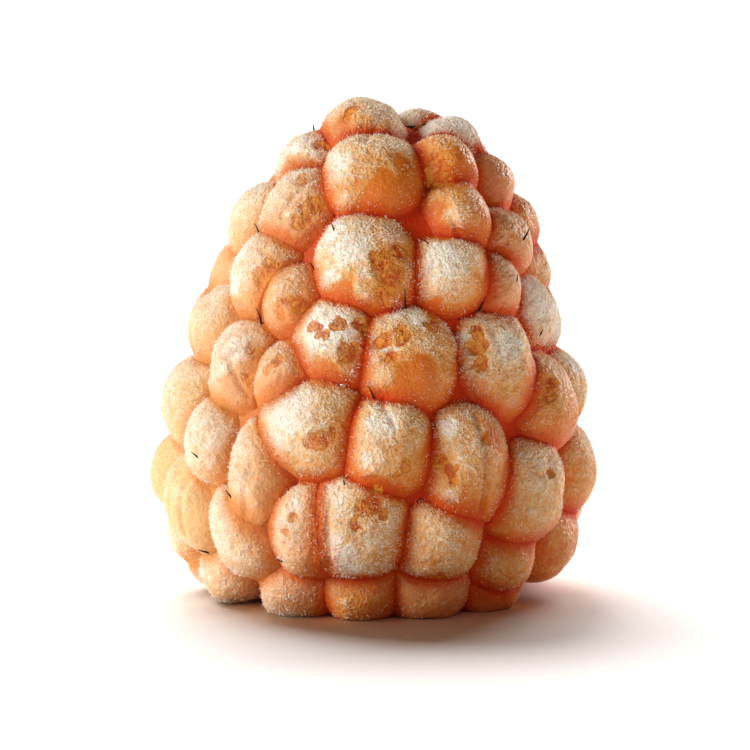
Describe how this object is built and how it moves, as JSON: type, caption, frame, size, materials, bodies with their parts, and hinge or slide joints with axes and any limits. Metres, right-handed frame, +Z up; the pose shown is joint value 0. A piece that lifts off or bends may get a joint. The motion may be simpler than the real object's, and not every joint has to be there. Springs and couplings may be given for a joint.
{
  "type": "raspberry",
  "caption": "Ripe apricot-coloured raspberry standing on its open end: plump drupelets grown together round a hollow, with dry styles.",
  "frame": {"origin": "on the ground, under the middle of the berry's bounding box", "axes": "+Z up from the open end to the tip; -Y is the front, +X the side the tip leans to"},
  "size_m": [0.0217, 0.0212, 0.024],
  "materials": {
    "flesh": "satin",
    "dry_style": "matte"
  },
  "bodies": {
    "root": {"drupelets": "flesh", "style_01": "dry_style", "style_02": "dry_style", "style_03": "dry_style", "style_04": "dry_style", "style_05": "dry_style", "style_06": "dry_style", "style_07": "dry_style", "style_08": "dry_style", "style_09": "dry_style", "style_10": "dry_style", "style_11": "dry_style", "style_12": "dry_style", "style_13": "dry_style", "style_14": "dry_style", "style_15": "dry_style", "style_16": "dry_style", "style_17": "dry_style", "style_18": "dry_style", "style_19": "dry_style", "style_20": "dry_style", "style_21": "dry_style", "style_22": "dry_style", "style_23": "dry_style", "style_24": "dry_style", "style_25": "dry_style", "style_26": "dry_style", "style_27": "dry_style", "style_28": "dry_style", "style_29": "dry_style", "style_30": "dry_style", "style_31": "dry_style", "style_32": "dry_style", "style_33": "dry_style", "style_34": "dry_style", "style_35": "dry_style", "style_36": "dry_style", "style_37": "dry_style", "style_38": "dry_style", "style_39": "dry_style", "style_40": "dry_style", "style_41": "dry_style"}
  },
  "joints": []
}
